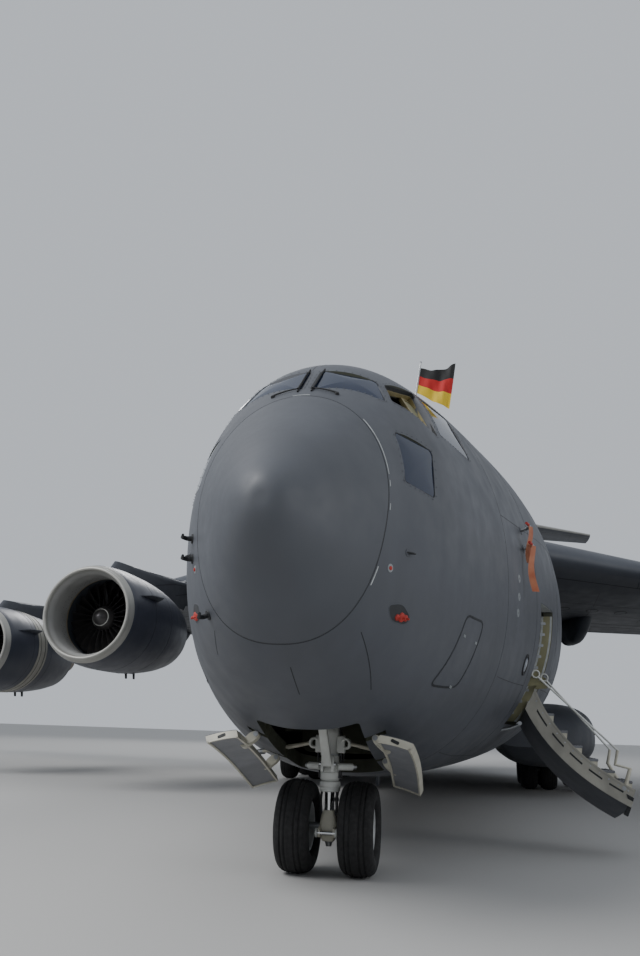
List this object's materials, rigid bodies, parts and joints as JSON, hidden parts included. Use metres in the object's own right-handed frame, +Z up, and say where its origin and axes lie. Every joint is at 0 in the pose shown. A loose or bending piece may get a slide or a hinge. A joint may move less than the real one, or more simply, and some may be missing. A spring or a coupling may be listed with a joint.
{
  "type": "military transport plane at half scale",
  "caption": "High-wing four-engined military transport aircraft with a T-tail, rear ramp, gear pods and an open crew stair, as a half-scale model on its gear.",
  "frame": {"origin": "on the ground under the middle of the aircraft's box", "axes": "+Y aft along the fuselage, +X to port, +Z up"},
  "size_m": [25.8704, 26.52, 8.395],
  "materials": {
    "grey_paint": "matt",
    "grey_paint_aft": "matt",
    "composite_grey": "matt",
    "radome_grey": "matt",
    "window_glass": "polished",
    "deck_grey": "matt",
    "floor_grey": "matt",
    "primer": "satin",
    "engine_metal": "satin",
    "fan_metal": "satin",
    "gear_white": "satin",
    "gear_chrome": "polished",
    "rim_grey": "satin",
    "tyre_rubber": "matt",
    "door_white": "satin",
    "staff_metal": "satin",
    "flag_cloth": "woven"
  },
  "bodies": {
    "airframe": {"forward_fuselage": "grey_paint", "flight_deck_glazing": "window_glass", "mid_fuselage": "grey_paint", "flight_deck": "deck_grey", "cargo_floor": "floor_grey", "aft_fuselage": "grey_paint_aft", "wing_fairing": "composite_grey", "wing_left": "grey_paint", "wing_right": "grey_paint", "winglet_left": "grey_paint", "winglet_right": "grey_paint", "fin": "composite_grey", "tail_bullet": "composite_grey", "engine_left_inner": "engine_metal", "engine_right_inner": "engine_metal", "engine_left_outer": "engine_metal", "engine_right_outer": "engine_metal", "pylon_left_inner": "grey_paint", "pylon_right_inner": "grey_paint", "pylon_left_outer": "grey_paint", "pylon_right_outer": "grey_paint", "gear_pod_left": "composite_grey", "gear_pod_right": "composite_grey", "main_leg_front_left": "gear_white", "main_leg_front_right": "gear_white", "main_leg_rear_left": "gear_white", "main_leg_rear_right": "gear_white", "nose_gear_leg": "gear_white", "flag_staff": "staff_metal", "flag": "flag_cloth"},
    "radome": {"radome": "radome_grey"},
    "crew_door": {"crew_door": "primer"},
    "cargo_ramp": {"cargo_ramp": "grey_paint"},
    "cargo_door": {"cargo_door": "grey_paint"},
    "nose_door_left": {"nose_door_left": "door_white"},
    "nose_door_right": {"nose_door_right": "door_white"},
    "nose_fork": {"nose_gear_fork": "gear_chrome"},
    "nose_wheels": {"nose_wheels": "rim_grey", "nose_tyre_left": "tyre_rubber", "nose_tyre_right": "tyre_rubber"},
    "main_wheels_front_left": {"main_wheels_front_left": "tyre_rubber"},
    "main_wheels_front_right": {"main_wheels_front_right": "tyre_rubber"},
    "main_wheels_rear_left": {"main_wheels_rear_left": "tyre_rubber"},
    "main_wheels_rear_right": {"main_wheels_rear_right": "tyre_rubber"},
    "fan_left_inner": {"fan_left_inner": "fan_metal"},
    "fan_right_inner": {"fan_right_inner": "fan_metal"},
    "fan_left_outer": {"fan_left_outer": "fan_metal"},
    "fan_right_outer": {"fan_right_outer": "fan_metal"},
    "flap_inner_left": {"flap_inner_left": "grey_paint"},
    "flap_inner_right": {"flap_inner_right": "grey_paint"},
    "flap_outer_left": {"flap_outer_left": "grey_paint"},
    "flap_outer_right": {"flap_outer_right": "grey_paint"},
    "aileron_left": {"aileron_left": "grey_paint"},
    "aileron_right": {"aileron_right": "grey_paint"},
    "rudder_lower": {"rudder_lower": "composite_grey"},
    "rudder_upper": {"rudder_upper": "composite_grey"},
    "tailplane": {"tailplane": "composite_grey"},
    "elevator_left": {"elevator_left": "composite_grey"},
    "elevator_right": {"elevator_right": "composite_grey"}
  },
  "joints": [
    {"name": "radome_hinge", "type": "hinge", "parent": "airframe", "child": "radome", "pos_m": [0, -12.6006, 2.47095], "axis": [-1, 0, 0], "range_deg": [0, 95]},
    {"name": "crew_door_hinge", "type": "hinge", "parent": "airframe", "child": "crew_door", "pos_m": [1.18, -9.745, 0.89], "axis": [0, -1, 0], "range_deg": [0, 114]},
    {"name": "cargo_ramp_hinge", "type": "hinge", "parent": "airframe", "child": "cargo_ramp", "pos_m": [0, 3.4925, 0.4825], "axis": [-1, 0, 0], "range_deg": [0, 23]},
    {"name": "cargo_door_hinge", "type": "hinge", "parent": "airframe", "child": "cargo_door", "pos_m": [0, 9.32, 2.39], "axis": [-1, 0, 0], "range_deg": [0, 25]},
    {"name": "nose_door_left_hinge", "type": "hinge", "parent": "airframe", "child": "nose_door_left", "pos_m": [0.33, -11.69, 0.6825], "axis": [0, 0.9649, -0.2627], "range_deg": [0, 45]},
    {"name": "nose_door_right_hinge", "type": "hinge", "parent": "airframe", "child": "nose_door_right", "pos_m": [-0.33, -11.69, 0.6825], "axis": [0, -0.9649, 0.2627], "range_deg": [0, 45]},
    {"name": "nose_steering", "type": "hinge", "parent": "airframe", "child": "nose_fork", "pos_m": [0, -11.45, 0.505], "axis": [0, 0, 1], "range_deg": [-65, 65]},
    {"name": "nose_wheel_axle", "type": "hinge", "parent": "nose_fork", "child": "nose_wheels", "pos_m": [0, -11.45, 0.254], "axis": [1, 0, 0], "continuous": true},
    {"name": "main_axle_front_left", "type": "hinge", "parent": "airframe", "child": "main_wheels_front_left", "pos_m": [2.1975, -2.075, 0.3175], "axis": [1, 0, 0], "continuous": true},
    {"name": "main_axle_front_right", "type": "hinge", "parent": "airframe", "child": "main_wheels_front_right", "pos_m": [-2.1975, -2.075, 0.3175], "axis": [1, 0, 0], "continuous": true},
    {"name": "main_axle_rear_left", "type": "hinge", "parent": "airframe", "child": "main_wheels_rear_left", "pos_m": [2.1975, -0.775, 0.3175], "axis": [1, 0, 0], "continuous": true},
    {"name": "main_axle_rear_right", "type": "hinge", "parent": "airframe", "child": "main_wheels_rear_right", "pos_m": [-2.1975, -0.775, 0.3175], "axis": [1, 0, 0], "continuous": true},
    {"name": "fan_axle_left_inner", "type": "hinge", "parent": "airframe", "child": "fan_left_inner", "pos_m": [4.02, -6.545, 2.135], "axis": [0, 1, 0], "continuous": true},
    {"name": "fan_axle_right_inner", "type": "hinge", "parent": "airframe", "child": "fan_right_inner", "pos_m": [-4.02, -6.545, 2.135], "axis": [0, 1, 0], "continuous": true},
    {"name": "fan_axle_left_outer", "type": "hinge", "parent": "airframe", "child": "fan_left_outer", "pos_m": [6.95, -4.59, 1.92], "axis": [0, 1, 0], "continuous": true},
    {"name": "fan_axle_right_outer", "type": "hinge", "parent": "airframe", "child": "fan_right_outer", "pos_m": [-6.95, -4.59, 1.92], "axis": [0, 1, 0], "continuous": true},
    {"name": "flap_inner_left_hinge", "type": "hinge", "parent": "airframe", "child": "flap_inner_left", "pos_m": [3.32701, -0.90975, 2.48749], "axis": [-0.9826, -0.1798, 0.0467], "range_deg": [0, 40]},
    {"name": "flap_inner_right_hinge", "type": "hinge", "parent": "airframe", "child": "flap_inner_right", "pos_m": [-3.32701, -0.90975, 2.48749], "axis": [-0.9826, 0.1798, -0.0467], "range_deg": [0, 40]},
    {"name": "flap_outer_left_hinge", "type": "hinge", "parent": "airframe", "child": "flap_outer_left", "pos_m": [6.81648, 0.06687, 2.32241], "axis": [-0.9439, -0.3272, 0.0445], "range_deg": [0, 40]},
    {"name": "flap_outer_right_hinge", "type": "hinge", "parent": "airframe", "child": "flap_outer_right", "pos_m": [-6.81648, 0.06687, 2.32241], "axis": [-0.9439, 0.3272, -0.0445], "range_deg": [0, 40]},
    {"name": "aileron_left_hinge", "type": "hinge", "parent": "airframe", "child": "aileron_left", "pos_m": [10.475, 1.39328, 2.64785], "axis": [-0.9475, -0.3146, 0.0575], "range_deg": [-25, 25]},
    {"name": "aileron_right_hinge", "type": "hinge", "parent": "airframe", "child": "aileron_right", "pos_m": [-10.475, 1.39328, 2.64785], "axis": [-0.9475, 0.3146, -0.0575], "range_deg": [-25, 25]},
    {"name": "rudder_lower_hinge", "type": "hinge", "parent": "airframe", "child": "rudder_lower", "pos_m": [0, 9.30855, 5.25], "axis": [0, 0.5405, 0.8413], "range_deg": [-25, 25]},
    {"name": "rudder_upper_hinge", "type": "hinge", "parent": "airframe", "child": "rudder_upper", "pos_m": [0, 10.33648, 6.85], "axis": [0, 0.5405, 0.8413], "range_deg": [-25, 25]},
    {"name": "tailplane_trim", "type": "hinge", "parent": "airframe", "child": "tailplane", "pos_m": [0, 11.34, 8.06], "axis": [1, 0, 0], "range_deg": [-3, 12]},
    {"name": "elevator_left_hinge", "type": "hinge", "parent": "tailplane", "child": "elevator_left", "pos_m": [2.575, 12.16547, 7.94102], "axis": [-0.9573, -0.2848, 0.0487], "range_deg": [-25, 15]},
    {"name": "elevator_right_hinge", "type": "hinge", "parent": "tailplane", "child": "elevator_right", "pos_m": [-2.575, 12.16547, 7.94102], "axis": [-0.9573, 0.2848, -0.0487], "range_deg": [-25, 15]}
  ]
}
